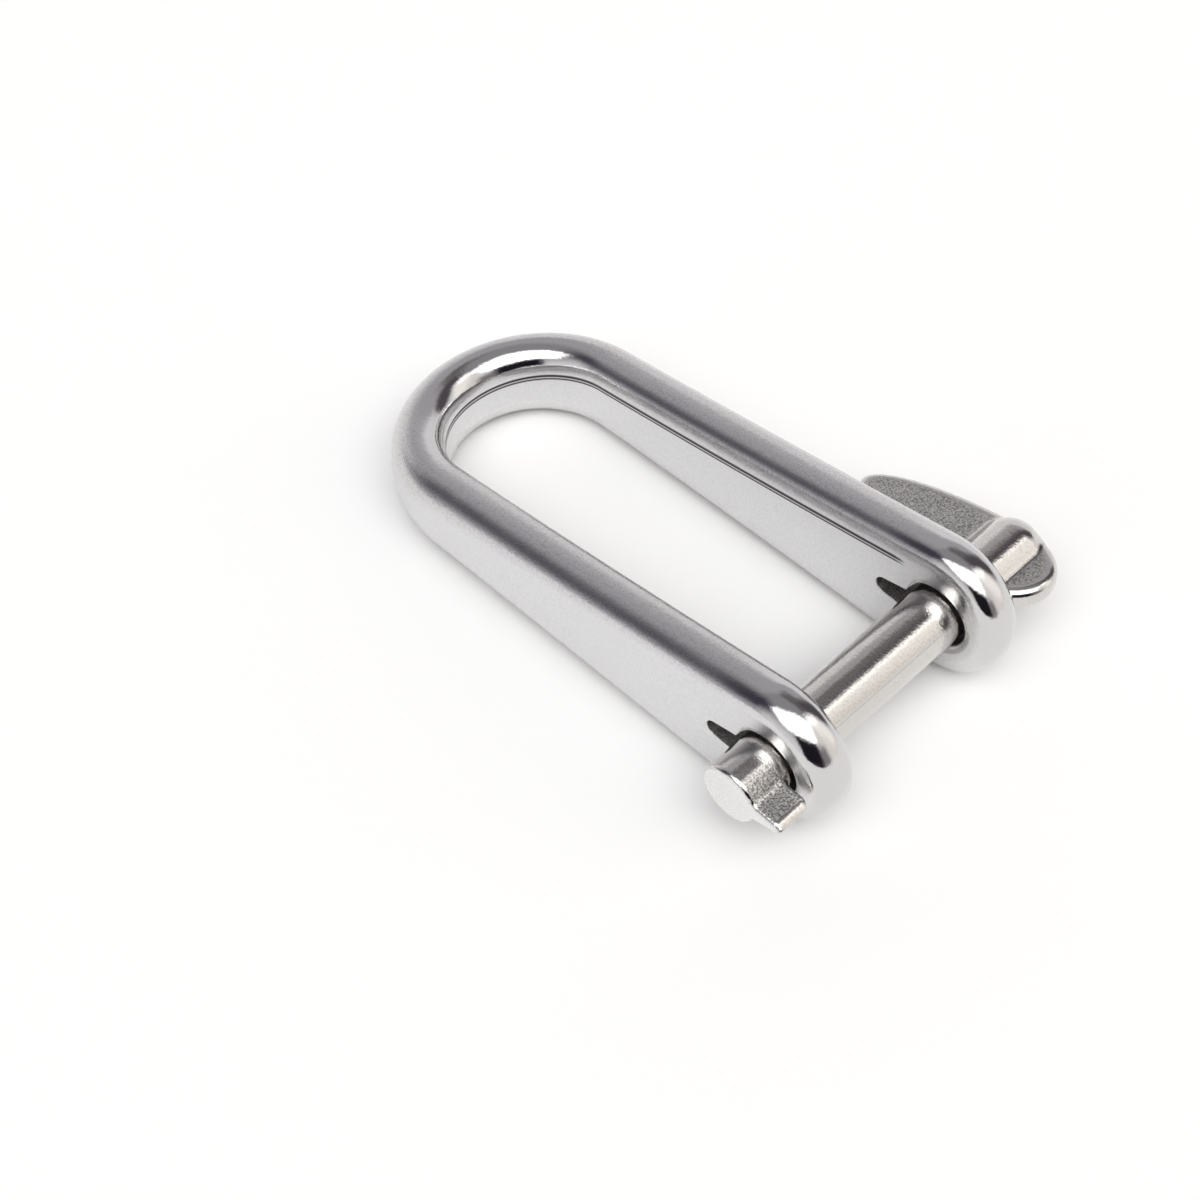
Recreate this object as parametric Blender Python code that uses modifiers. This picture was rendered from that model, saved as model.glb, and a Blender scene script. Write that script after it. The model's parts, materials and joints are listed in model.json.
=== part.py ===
"""Long key shackle in cast stainless steel: a one-piece bow and a one-piece key pin.

The bow is a U. Its section is rounded at top and bottom, flat inside, fully round outside
along the bend and flat outside along the legs, and it deepens towards two round ears. Each
ear has a keyhole: a round hole for the pin and a tapered keyway for the pin's lug. The key
pin is a plain round shaft with a small lug at its free end and a wing handle at the other.

The model is worked out with the pin hole on the Y axis, X from the bend to the ears and Z
up, and is then laid on the ground as it comes to rest.
"""

import math

import bmesh
import bpy
from mathutils import Vector

MM = 0.001

# Bow, seen from above
INSIDE_WIDTH = 14.8 * MM
LEG_LENGTH = 35.5 * MM
BEND_THICKNESS = 4.75 * MM
LEG_THICKNESS = 4.35 * MM
EAR_THICKNESS = 4.0 * MM

# Bow, seen from the side
BEND_HEIGHT = 7.0 * MM
LEG_HEIGHT = 7.7 * MM
EAR_DIAMETER = 12.4 * MM
EAR_FLARE = math.radians(5.0)

# Height of the crown from the flat side of the bar to its top, inside and outside
INNER_CROWN = 2.1 * MM
OUTER_CROWN_LEG = 2.45 * MM
OUTER_CROWN_EAR = 1.6 * MM

# Keyholes
HOLE_DIAMETER = 5.65 * MM
HOLE_OFFSET = 0.5 * MM
KEYWAY_REACH = 5.5 * MM
KEYWAY_ROOT_WIDTH = 2.9 * MM
KEYWAY_TIP_WIDTH = 1.5 * MM
RIM_WIDTH = 0.7 * MM
RIM_DEPTH = 0.4 * MM
PUNCH_OVERSHOOT = 0.5 * MM

# Key pin
PIN_DIAMETER = 5.0 * MM
PIN_END_ROUND = 0.4 * MM
PIN_PROTRUSION = 3.75 * MM
PIN_TURN = math.radians(2.0)
RUNNING_GAP = 0.45 * MM
SEAT_GAP = 0.3 * MM

# Lug, measured out from the pin's axis
LUG_REACH = 5.0 * MM
LUG_ROOT_THICKNESS = 1.6 * MM
LUG_TIP_THICKNESS = 0.85 * MM
LUG_CORNER = 0.6 * MM
LUG_EDGE_ROUND = 0.3 * MM

# Wing handle: an oval paddle that the pin crosses off centre, cut flat where it faces the ear
WING_REACH = 13.5 * MM
LOBE_REACH = 5.0 * MM
HANDLE_WIDTH = 7.7 * MM
HANDLE_CUT = 0.65 * MM
HANDLE_THICKNESS = 1.9 * MM
HANDLE_EDGE_ROUND = 0.75 * MM
BARREL_DOME = 2.2 * MM
BARREL_OVERHANG = 0.15 * MM

# Facets
CROWN_STEPS = 7
BEND_STEPS = 32
LEG_STEPS = 9
EAR_STEPS = 14
HOLE_STEPS = 36
TIP_STEPS = 9
RIM_STEPS = 3
SHAFT_STEPS = 48
HANDLE_STEPS = 48
ROUND_STEPS = 6
EDGE_STEPS = 4

WELD_DISTANCE = 0.000001
SMOOTH_ANGLE = math.radians(35.0)
LUG_BEVEL_ANGLE = math.radians(50.0)

BOW_COLOUR = (0.62, 0.61, 0.6)
BOW_ROUGHNESS = 0.22
PIN_COLOUR = (0.58, 0.57, 0.56)
PIN_ROUGHNESS = 0.3

EAR_RADIUS = EAR_DIAMETER / 2
BEND_RADIUS = INSIDE_WIDTH / 2
HOLE_RADIUS = HOLE_DIAMETER / 2
PIN_RADIUS = PIN_DIAMETER / 2
EAR_OUTER_FACE = BEND_RADIUS + EAR_THICKNESS
PIN_FREE_END = -(EAR_OUTER_FACE + PIN_PROTRUSION)
HANDLE_FACE = EAR_OUTER_FACE + RUNNING_GAP
HANDLE_MIDDLE = HANDLE_FACE + HANDLE_WIDTH / 2 - HANDLE_CUT
BARREL_END = HANDLE_MIDDLE + HANDLE_WIDTH / 2 + BARREL_OVERHANG
# The pin hangs in its holes towards the bend and down, until the seat gap is left
PIN_DROP = (HOLE_RADIUS - PIN_RADIUS - SEAT_GAP) / math.sqrt(2)
PIN_AXIS = Vector((HOLE_OFFSET - PIN_DROP, 0.0, -PIN_DROP))


def clear_scene():
    """Remove every object that the scene starts with."""
    for obj in list(bpy.data.objects):
        bpy.data.objects.remove(obj, do_unlink=True)


def new_collection(name):
    """Make a collection in the scene and return it."""
    collection = bpy.data.collections.new(name)
    bpy.context.scene.collection.children.link(collection)
    return collection


def steel(name, colour, roughness):
    """Return a plain metal material."""
    material = bpy.data.materials.new(name)
    material.use_nodes = True
    shader = material.node_tree.nodes["Principled BSDF"]
    shader.inputs["Base Color"].default_value = (*colour, 1.0)
    shader.inputs["Metallic"].default_value = 1.0
    shader.inputs["Roughness"].default_value = roughness
    return material


def new_object(name, mesh, collection):
    """Put a mesh in a collection as a named object and return the object."""
    obj = bpy.data.objects.new(name, mesh)
    collection.objects.link(obj)
    return obj


def as_tool(obj):
    """Mark an object as a cutter or blank, which is not itself a part."""
    obj.hide_render = True
    obj.display_type = "WIRE"
    return obj


def mesh_from_bmesh(bm, name):
    """Turn a bmesh into a mesh with its faces pointing out."""
    bmesh.ops.remove_doubles(bm, verts=bm.verts, dist=WELD_DISTANCE)
    bmesh.ops.recalc_face_normals(bm, faces=bm.faces)
    mesh = bpy.data.meshes.new(name)
    bm.to_mesh(mesh)
    bm.free()
    return mesh


def add_boolean(obj, operation, operand):
    """Add an exact Boolean modifier to an object."""
    modifier = obj.modifiers.new(operand.name, "BOOLEAN")
    modifier.operation = operation
    modifier.solver = "EXACT"
    modifier.object = operand
    return modifier


def shade_round(mesh):
    """Shade a mesh smooth, but for its sharp edges."""
    mesh.shade_smooth()
    mesh.set_sharp_from_angle(angle=SMOOTH_ANGLE)


def leg_half_height(x):
    """Half the height of a leg at x, which flares into the ear's round without a corner."""
    meet_x = -EAR_RADIUS * math.sin(EAR_FLARE)
    meet_height = EAR_RADIUS * math.cos(EAR_FLARE)
    run = LEG_LENGTH + meet_x
    slope = math.tan(EAR_FLARE)
    bow_out = (LEG_HEIGHT / 2 - meet_height + slope * run) / run**2
    return meet_height + slope * (x - meet_x) + bow_out * (x - meet_x) ** 2


def leg_thickness(x):
    """Thickness of a leg at x; it tapers evenly, so that its outer side is one plane."""
    return EAR_THICKNESS - (LEG_THICKNESS - EAR_THICKNESS) * x / LEG_LENGTH


def outer_crown(x):
    """Height of the outer crown at x along a leg, easing out towards the ear."""
    share = min(max(-x / LEG_LENGTH, 0.0), 1.0)
    return OUTER_CROWN_EAR + (OUTER_CROWN_LEG - OUTER_CROWN_EAR) * share**2


def crown_curve(thickness, inner, outer):
    """Points over the top of the bar, from its inner flat to its outer flat.

    Each point is the distance out from the inner face, and the drop below the top.
    """
    half = thickness / 2
    angles = [math.pi / 2 * step / CROWN_STEPS for step in range(CROWN_STEPS + 1)]
    curve = [(half - half * math.cos(a), inner - inner * math.sin(a)) for a in angles]
    curve += [(half + half * math.sin(a), outer - outer * math.cos(a)) for a in angles[1:]]
    return curve


def bend_ring(angle):
    """Section of the bar at an angle round the bend, 90 degrees being the near leg."""
    towards_middle = math.cos(angle)
    thickness = LEG_THICKNESS + (BEND_THICKNESS - LEG_THICKNESS) * towards_middle
    half_height = (LEG_HEIGHT + (BEND_HEIGHT - LEG_HEIGHT) * towards_middle) / 2
    outer = OUTER_CROWN_LEG + (half_height - OUTER_CROWN_LEG) * towards_middle
    out = Vector((-math.cos(angle), -math.sin(angle), 0.0))
    foot = Vector((-LEG_LENGTH, 0.0, 0.0)) + out * BEND_RADIUS
    curve = crown_curve(thickness, INNER_CROWN, outer)
    top = [foot + out * away + Vector((0, 0, half_height - drop)) for away, drop in curve]
    bottom = [Vector((p.x, p.y, -p.z)) for p in reversed(top)]
    return top + bottom


def leg_ring(x, side):
    """Section of a leg at x, on the near side (-1) or the far side (+1)."""
    curve = crown_curve(leg_thickness(x), INNER_CROWN, outer_crown(x))
    half_height = leg_half_height(x)
    top = [Vector((x, side * (BEND_RADIUS + away), half_height - drop)) for away, drop in curve]
    bottom = [Vector((p.x, p.y, -p.z)) for p in reversed(top)]
    return top + bottom


def ear_ring(angle, side):
    """Two spokes of an ear's rounded rim, as far above the middle as below it."""
    top = []
    rim = Vector((math.cos(angle), 0.0, math.sin(angle)))
    for away, drop in crown_curve(leg_thickness(rim.x * EAR_RADIUS), INNER_CROWN, OUTER_CROWN_EAR):
        point = rim * (EAR_RADIUS - drop)
        point.y = side * (BEND_RADIUS + away)
        top.append(point)
    bottom = [Vector((p.x, p.y, -p.z)) for p in reversed(top)]
    return top + bottom


def bow_rings():
    """Every section of the bow, from the near ear's tip round the bend to the far ear's tip."""
    flare_start = math.pi / 2 + EAR_FLARE
    spokes = [flare_start * step / EAR_STEPS for step in range(EAR_STEPS + 1)]
    meet_x = -EAR_RADIUS * math.sin(EAR_FLARE)
    run = LEG_LENGTH + meet_x
    places = [meet_x - run * step / LEG_STEPS for step in range(1, LEG_STEPS)]
    near = [ear_ring(angle, -1) for angle in spokes] + [leg_ring(x, -1) for x in places]
    far = [ear_ring(angle, 1) for angle in spokes] + [leg_ring(x, 1) for x in places]
    bend = [bend_ring(math.pi / 2 - math.pi * step / BEND_STEPS) for step in range(BEND_STEPS + 1)]
    return near + bend + list(reversed(far))


def loft(rings, name, capped):
    """Join closed rings of equal length into one skin.

    The end rings are closed with a face each, or are already folded shut.
    """
    bm = bmesh.new()
    rows = [[bm.verts.new(point) for point in ring] for ring in rings]
    count = len(rows[0])
    for row, following in zip(rows, rows[1:]):
        for k in range(count):
            after = (k + 1) % count
            bm.faces.new((row[k], row[after], following[after], following[k]))
    if capped:
        bm.faces.new(rows[0])
        bm.faces.new(list(reversed(rows[-1])))
    bmesh.ops.remove_doubles(bm, verts=bm.verts, dist=WELD_DISTANCE)
    bmesh.ops.dissolve_degenerate(bm, edges=bm.edges, dist=WELD_DISTANCE)
    return mesh_from_bmesh(bm, name)


def keyhole_outline(grow):
    """Outline of the keyhole in X and Z, every edge moved out by the given amount.

    The keyway narrows from its root, as if drawn between two circles, to a round tip.
    """
    root = KEYWAY_ROOT_WIDTH / 2
    tip = KEYWAY_TIP_WIDTH / 2
    reach = KEYWAY_REACH - tip
    lean = math.asin((root - tip) / reach)
    edge_angle = math.pi / 2 - lean
    corner = edge_angle - math.acos((root + grow) / (HOLE_RADIUS + grow))
    points = []
    for step in range(HOLE_STEPS + 1):
        angle = corner + (2 * math.pi - 2 * corner) * step / HOLE_STEPS
        points.append(((HOLE_RADIUS + grow) * math.cos(angle), (HOLE_RADIUS + grow) * math.sin(angle)))
    for step in range(TIP_STEPS + 1):
        angle = -edge_angle + 2 * edge_angle * step / TIP_STEPS
        points.append((reach + (tip + grow) * math.cos(angle), (tip + grow) * math.sin(angle)))
    return [(HOLE_OFFSET - along, across) for along, across in points]


def keyhole_cutter(side, collection):
    """A keyhole-shaped punch through one ear, flared at both faces for the rounded rims."""
    flare = [(-PUNCH_OVERSHOOT, RIM_WIDTH)]
    for step in range(RIM_STEPS + 1):
        a = math.pi / 2 * step / RIM_STEPS
        flare.append((RIM_DEPTH * (1 - math.cos(a)), RIM_WIDTH * (1 - math.sin(a))))
    rings = []
    for depth, grow in flare:
        outline = keyhole_outline(grow)
        rings.append([Vector((x, side * (BEND_RADIUS + depth), z)) for x, z in outline])
    for depth, grow in reversed(flare):
        outline = keyhole_outline(grow)
        rings.append(
            [Vector((x, side * (BEND_RADIUS + leg_thickness(x) - depth), z)) for x, z in outline]
        )
    name = "near_keyhole_punch" if side < 0 else "far_keyhole_punch"
    return as_tool(new_object(name, loft(rings, name, capped=True), collection))


def make_bow(parts, tools):
    """Cast bow: the lofted bar, with a keyhole through each ear."""
    bow = new_object("bow", loft(bow_rings(), "bow", capped=False), parts)
    bow.data.materials.append(steel("polished_steel", BOW_COLOUR, BOW_ROUGHNESS))
    for side in (-1, 1):
        add_boolean(bow, "DIFFERENCE", keyhole_cutter(side, tools))
    shade_round(bow.data)
    return bow


def shaft_profile():
    """Half outline of the shaft, radius and place along its axis, from end to end."""
    quarter = [math.pi / 2 * step / ROUND_STEPS for step in range(ROUND_STEPS + 1)]
    profile = [(0.0, PIN_FREE_END)]
    flat = PIN_RADIUS - PIN_END_ROUND
    for a in quarter:
        along = PIN_FREE_END + PIN_END_ROUND * (1 - math.cos(a))
        profile.append((flat + PIN_END_ROUND * math.sin(a), along))
    flat = PIN_RADIUS - BARREL_DOME
    for a in quarter:
        along = BARREL_END - BARREL_DOME * (1 - math.sin(a))
        profile.append((flat + BARREL_DOME * math.cos(a), along))
    profile.append((0.0, BARREL_END))
    return profile


def make_shaft(parts):
    """Turned shaft of the key pin, about its own Y axis."""
    bm = bmesh.new()
    verts = [bm.verts.new((radius, along, 0.0)) for radius, along in shaft_profile()]
    # Edges drawn from the handle back to the free end turn into faces that point out
    for first, second in zip(verts[1:], verts):
        bm.edges.new((first, second))
    mesh = bpy.data.meshes.new("key_pin")
    bm.to_mesh(mesh)
    bm.free()
    shaft = new_object("key_pin", mesh, parts)
    screw = shaft.modifiers.new("turned", "SCREW")
    screw.axis = "Y"
    screw.steps = SHAFT_STEPS
    screw.render_steps = SHAFT_STEPS
    screw.use_merge_vertices = True
    screw.merge_threshold = WELD_DISTANCE
    return shaft


def handle_outline(inset, z):
    """Outline of the handle at a height, every edge moved in by the inset.

    It is half an oval towards the bend and half a shorter one away from it.
    """
    points = []
    for step in range(HANDLE_STEPS):
        angle = 2 * math.pi * step / HANDLE_STEPS
        reach = LOBE_REACH if math.cos(angle) > 0 else WING_REACH
        along = HANDLE_MIDDLE + (HANDLE_WIDTH / 2 - inset) * math.sin(angle)
        points.append(Vector(((reach - inset) * math.cos(angle), max(along, HANDLE_FACE + inset), z)))
    return points


def make_handle(tools):
    """Blank of the handle: a plate about the plane of the pin's axis, its edge rounded over."""
    side = HANDLE_THICKNESS / 2 - HANDLE_EDGE_ROUND
    rings = []
    for step in range(EDGE_STEPS + 1):
        a = math.pi / 2 * step / EDGE_STEPS
        inset = HANDLE_EDGE_ROUND * (1 - math.sin(a))
        rings.append(handle_outline(inset, -side - HANDLE_EDGE_ROUND * math.cos(a)))
    rings += [[Vector((p.x, p.y, -p.z)) for p in ring] for ring in reversed(rings)]
    handle = as_tool(new_object("handle_blank", loft(rings, "handle_blank", capped=True), tools))
    shade_round(handle.data)
    return handle


def make_lug(tools):
    """Blank of the lug: a fin flush with the pin's free end, thinning towards its nose."""
    half_length = (PIN_PROTRUSION - RUNNING_GAP) / 2
    middle = PIN_FREE_END + half_length
    bm = bmesh.new()
    bmesh.ops.create_cube(bm, size=2.0)
    nose = [e for e in bm.edges if all(v.co.x > 0 for v in e.verts)]
    corners = [e for e in nose if e.verts[0].co.z != e.verts[1].co.z]
    for vert in bm.verts:
        vert.co.x = LUG_REACH if vert.co.x > 0 else 0.0
        vert.co.y = middle + half_length * vert.co.y
    bmesh.ops.bevel(
        bm, geom=corners, offset=LUG_CORNER, segments=EDGE_STEPS, profile=0.5, affect="EDGES"
    )
    taper = (LUG_ROOT_THICKNESS - LUG_TIP_THICKNESS) / (LUG_REACH - PIN_RADIUS)
    for vert in bm.verts:
        vert.co.z *= (LUG_ROOT_THICKNESS - taper * (vert.co.x - PIN_RADIUS)) / 2
    lug = as_tool(new_object("lug_blank", mesh_from_bmesh(bm, "lug_blank"), tools))
    shade_round(lug.data)
    bevel = lug.modifiers.new("rounded_edges", "BEVEL")
    bevel.width = LUG_EDGE_ROUND
    bevel.segments = EDGE_STEPS
    bevel.limit_method = "ANGLE"
    bevel.angle_limit = LUG_BEVEL_ANGLE
    return lug


def make_key_pin(parts, tools):
    """Cast key pin: shaft, lug and wing handle in one piece, about the shaft's axis."""
    pin = make_shaft(parts)
    pin.data.materials.append(steel("cast_steel", PIN_COLOUR, PIN_ROUGHNESS))
    for blank in (make_handle(tools), make_lug(tools)):
        blank.parent = pin
        add_boolean(pin, "UNION", blank)
    return pin


def rest_tilt():
    """Angle by which the bow leans to touch the ground at its ears and its bend."""
    reach = LEG_LENGTH + BEND_RADIUS + BEND_THICKNESS / 2
    return math.asin((EAR_RADIUS - BEND_HEIGHT / 2) / reach)


def lay_on_ground(root, parts):
    """Move the whole shackle so that its box stands on the origin, centred."""
    bpy.context.view_layer.update()
    depsgraph = bpy.context.evaluated_depsgraph_get()
    points = []
    for part in parts:
        evaluated = part.evaluated_get(depsgraph)
        points += [evaluated.matrix_world @ vert.co for vert in evaluated.data.vertices]
    low = Vector(min(point[axis] for point in points) for axis in range(3))
    high = Vector(max(point[axis] for point in points) for axis in range(3))
    root.location = (-(low.x + high.x) / 2, -(low.y + high.y) / 2, -low.z)
    bpy.context.view_layer.update()


def main():
    """Build the bow and the key pin, and lay them down."""
    clear_scene()
    parts = new_collection("key_shackle")
    tools = new_collection("key_shackle_tools")
    root = bpy.data.objects.new("resting_pose", None)
    axis = bpy.data.objects.new("pin_axis", None)
    for empty in (root, axis):
        parts.objects.link(empty)
    bow = make_bow(parts, tools)
    pin = make_key_pin(parts, tools)
    bow.parent = root
    axis.parent = root
    pin.parent = axis
    for tool in tools.objects:
        if tool.parent is None:
            tool.parent = root
    axis.location = PIN_AXIS
    pin.rotation_euler = (0.0, -PIN_TURN, 0.0)
    # The bend end goes down until it touches the ground
    root.rotation_euler = (0.0, -rest_tilt(), 0.0)
    lay_on_ground(root, (bow, pin))


main()
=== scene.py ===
"""Key shackle in cast and polished stainless steel: the dressed bow and key pin, and their studio.

Both castings are worked out in millimetres and in the shackle's own directions: X from the
bend to the ears, Y along the pin from its free end to its handle, and Z up, with the origin
between the ears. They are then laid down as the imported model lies.
"""

import json
import logging
import math
from dataclasses import asdict, dataclass
from enum import Enum
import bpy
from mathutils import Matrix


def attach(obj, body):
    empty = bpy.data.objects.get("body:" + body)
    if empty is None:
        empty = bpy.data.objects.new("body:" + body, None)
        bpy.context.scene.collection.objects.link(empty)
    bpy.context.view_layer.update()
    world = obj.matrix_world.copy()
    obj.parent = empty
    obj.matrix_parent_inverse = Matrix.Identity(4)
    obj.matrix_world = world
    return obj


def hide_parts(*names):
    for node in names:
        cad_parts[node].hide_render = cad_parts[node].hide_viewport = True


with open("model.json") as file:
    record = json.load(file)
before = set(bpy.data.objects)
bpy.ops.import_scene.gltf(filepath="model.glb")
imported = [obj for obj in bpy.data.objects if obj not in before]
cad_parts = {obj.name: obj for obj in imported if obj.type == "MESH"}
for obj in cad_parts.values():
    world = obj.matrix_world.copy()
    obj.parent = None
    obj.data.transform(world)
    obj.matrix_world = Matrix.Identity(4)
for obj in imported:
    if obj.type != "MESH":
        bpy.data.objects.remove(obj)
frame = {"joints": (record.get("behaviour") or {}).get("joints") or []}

from types import SimpleNamespace

import bmesh
import bpy
import numpy as np
from bmesh.types import BMesh, BMVert
from bpy.types import ID, Material, Mesh, Node, NodeSocket, NodeTree, Object, bpy_prop_collection
from mathutils import Matrix, Vector
from mathutils.geometry import delaunay_2d_cdt

MM = 0.001

# Points nearer than this many millimetres are one, and so many places are told apart along
# each millimetre of a rim.
WELD = 0.0005
STATIONS = 500

# The triangulation gives only what its edges enclose, and joins points that are this near.
INSIDE_ONLY = 1
SAME_PLACE = 1e-6

# Places of the sockets in a mix node that blends colours.
MIX_UNDER, MIX_OVER, MIX_RESULT = 6, 7, 2

# Least length that a direction is divided by, and least square of a slope that is.
TINY = 1e-30
LEAST_STEEPNESS = 0.25

# A panel shows only where it lies at least this far ahead.
LEAST_AHEAD = 0.02

Colour = tuple[float, float, float]
Span = tuple[float, float]
Verts = list[BMVert]

log = logging.getLogger("key_shackle")


class Side(Enum):
    """The two legs of the bow, by the sign of their place along the pin."""

    NEAR = -1
    FAR = 1


class Number:
    """A number inside a node tree. Plain arithmetic on it builds the maths nodes."""

    def __init__(self, tree: NodeTree, socket: NodeSocket) -> None:
        """Keep the tree and the socket that gives the number.

        Args:
            tree: The node tree that the number lives in.
            socket: The output socket that gives it.
        """
        self.tree = tree
        self.socket = socket

    def maths(self, operation: str, *others: "Number | float") -> "Number":
        """Combine this number with others in one maths node.

        Args:
            operation: The maths node's operation.
            others: Its further inputs, in order.

        Returns:
            The node's result.
        """
        inputs = dict(enumerate((self, *others)))
        node = add_node(self.tree, "ShaderNodeMath", inputs, operation=operation)
        return Number(self.tree, node.outputs[0])

    def __add__(self, other: "Number | float") -> "Number":
        """Sum."""
        return self.maths("ADD", other)

    __radd__ = __add__

    def __sub__(self, other: "Number | float") -> "Number":
        """Difference."""
        return self.maths("SUBTRACT", other)

    def __rsub__(self, other: float) -> "Number":
        """Difference from a plain number."""
        return self * -1.0 + other

    def __mul__(self, other: "Number | float") -> "Number":
        """Product."""
        return self.maths("MULTIPLY", other)

    __rmul__ = __mul__

    def __truediv__(self, other: "Number | float") -> "Number":
        """Quotient."""
        return self.maths("DIVIDE", other)

    def sine(self) -> "Number":
        """Sine."""
        return self.maths("SINE")

    def cosine(self) -> "Number":
        """Cosine."""
        return self.maths("COSINE")

    def absolute(self) -> "Number":
        """The number without its sign."""
        return self.maths("ABSOLUTE")

    def above(self, limit: "Number | float") -> "Number":
        """One where the number is over the limit, else zero."""
        return self.maths("GREATER_THAN", limit)

    def power(self, exponent: "Number | float") -> "Number":
        """Power."""
        return self.maths("POWER", exponent)

    def clamped(self) -> "Number":
        """The number held between zero and one."""
        return self.maths("MAXIMUM", 0.0).maths("MINIMUM", 1.0)


def add_node(
    tree: NodeTree, kind: str, inputs: dict[str | int, object] | None = None, **settings: object
) -> Node:
    """Add a node to a tree, with its settings and all that goes into it.

    Args:
        tree: The node tree.
        kind: The node's type.
        inputs: What each input takes, a plain value, a number or a socket of the tree.
        settings: The node's own settings, by name.

    Returns:
        The node.
    """
    node = tree.nodes.new(kind)
    for name, value in settings.items():
        setattr(node, name, value)
    for key, value in (inputs or {}).items():
        source = value.socket if isinstance(value, Number) else value
        if isinstance(source, NodeSocket):
            tree.links.new(source, node.inputs[key])
        else:
            node.inputs[key].default_value = source
    return node


def blend(tree: NodeTree, under: NodeSocket | Colour, over: Colour, share: Number) -> NodeSocket:
    """Lay one colour over another.

    Args:
        tree: The nodes of the material or the world.
        under: The colour below, plain or as a socket.
        over: The colour laid over it.
        share: How much of it shows.

    Returns:
        The socket of the blend.
    """
    below = (*under, 1.0) if isinstance(under, tuple) else under
    inputs = {"Factor": share, MIX_UNDER: below, MIX_OVER: (*over, 1.0)}
    return add_node(tree, "ShaderNodeMix", inputs, data_type="RGBA").outputs[MIX_RESULT]


@dataclass(frozen=True)
class SteelFinish:
    """A stainless steel surface: its colour, how polished it is, and the marks on it.

    The marks are drawn on the piece's own coordinates in metres, so they keep their size.
    Six numbers that the mesh carries say where each treatment is, from 0 to 1: "polish"
    for the linished rounds, "gloss" for the mirror-buffed ones, "grain" for the skin of the
    casting, the painted-shade number for painted shade laid in creases and keyholes where
    shade falls, "fresh" for newly cut metal, and "seam" for the side of the mould's parting
    plane, which meets the surface where it is one half.
    """

    name: str
    colour: Colour
    skin_colour: Colour
    # Colour of the painted shade in creases and keyholes, and of the dark line along the seam
    shade_and_seam_colour: Colour = (0.06, 0.048, 0.052)
    fresh_colour: Colour = (0.86, 0.85, 0.84)
    flat_colour: Colour = (0.75, 0.745, 0.755)
    gloss_roughness: float = 0.08
    polish_roughness: float = 0.26
    satin_roughness: float = 0.34
    skin_roughness: float = 0.4
    patch_size: float = 5.0 * MM
    patchiness: float = 0.05
    patches_buffed: float = 0.6
    peel_size: float = 1.5 * MM
    peel_depth: float = 0.02 * MM
    peel_detail: float = 2.0
    speckle_size: float = 0.18 * MM
    speckle_depth: float = 0.01 * MM
    speckle_buffed: float = 0.4
    speckle_roughness: float = 0.08
    speckle_tone: float = 1.3
    speckle_on_flats: float = 0.4
    least_tone: float = 0.08
    grain_size: float = 0.15 * MM
    grain_depth: float = 0.06 * MM
    pit_tone: float = 0.6
    pit_contrast: float = 6.0
    mark_detail: float = 3.0
    # How strongly the painted shade darkens the steel
    painted_shade_strength: float = 2.0
    seam_width: float = 0.045
    seam_grime: float = 0.5

    @staticmethod
    def noise(tree: NodeTree, size: float, detail: float) -> Number:
        """A cloudy pattern over the piece, about zero.

        Args:
            tree: The material's nodes.
            size: The size of its patches, in metres.
            detail: How many finer layers it has.

        Returns:
            The pattern, from about minus one half to one half.
        """
        place = add_node(tree, "ShaderNodeTexCoord").outputs["Object"]
        inputs = {"Vector": place, "Scale": 1.0 / size, "Detail": detail}
        return Number(tree, add_node(tree, "ShaderNodeTexNoise", inputs).outputs["Fac"]) - 0.5

    @staticmethod
    def attribute(tree: NodeTree, name: str) -> Number:
        """A number that the piece's mesh carries, held between zero and one."""
        node = add_node(tree, "ShaderNodeAttribute", attribute_name=name)
        return Number(tree, node.outputs["Fac"]).clamped()

    def make(self) -> Material:
        """Build the finish as a procedural material.

        Returns:
            The finished material.
        """
        material = bpy.data.materials.new(self.name)
        material.use_nodes = True
        tree = material.node_tree
        shader = tree.nodes["Principled BSDF"]
        shader.inputs["Metallic"].default_value = 1.0
        polish, gloss, skin, painted_shade, fresh, side = (
            self.attribute(tree, name)
            for name in ("polish", "gloss", "grain", "painted_shade", "fresh", "seam")
        )
        patches, speckle, pits = (
            self.noise(tree, size, self.mark_detail)
            for size in (self.patch_size, self.speckle_size, self.grain_size)
        )

        rough = self.satin_roughness + (self.polish_roughness - self.satin_roughness) * polish
        rough = rough + (self.gloss_roughness - rough) * gloss
        marks = patches * self.patchiness + speckle * self.speckle_roughness
        rough = rough + marks * (1.0 - gloss * self.patches_buffed)
        rough = rough + (self.skin_roughness - rough) * skin
        tree.links.new(rough.clamped().socket, shader.inputs["Roughness"])

        tone = speckle * (self.speckle_on_flats + polish) * self.speckle_tone
        tone = (self.least_tone + tone) * (1.0 - gloss)
        pitted = self.pit_tone - pits * self.pit_contrast
        metal = blend(tree, self.flat_colour, self.colour, polish)
        metal = blend(tree, metal, self.fresh_colour, fresh)
        metal = blend(tree, metal, self.skin_colour, (tone + (pitted - tone) * skin).clamped())
        seam = (1.0 - (side - 0.5).absolute() / self.seam_width).clamped()
        seam = seam * (1.0 - fresh) * self.seam_grime
        # Painted shade, laid where shade falls in creases and keyholes, and the dark seam line
        # darken the colour
        dark = (painted_shade * self.painted_shade_strength + seam).clamped()
        metal = blend(tree, metal, self.shade_and_seam_colour, dark)
        tree.links.new(metal, shader.inputs["Base Color"])

        peel = self.noise(tree, self.peel_size, self.peel_detail) * self.peel_depth * polish
        fine = speckle * self.speckle_depth * (1.0 - gloss * self.speckle_buffed)
        height = (peel + fine) * (1.0 - skin) + pits * self.grain_depth * skin
        inputs = {"Strength": 1.0, "Distance": 1.0, "Height": height}
        bump = add_node(tree, "ShaderNodeBump", inputs)
        tree.links.new(bump.outputs["Normal"], shader.inputs["Normal"])
        return material


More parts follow.
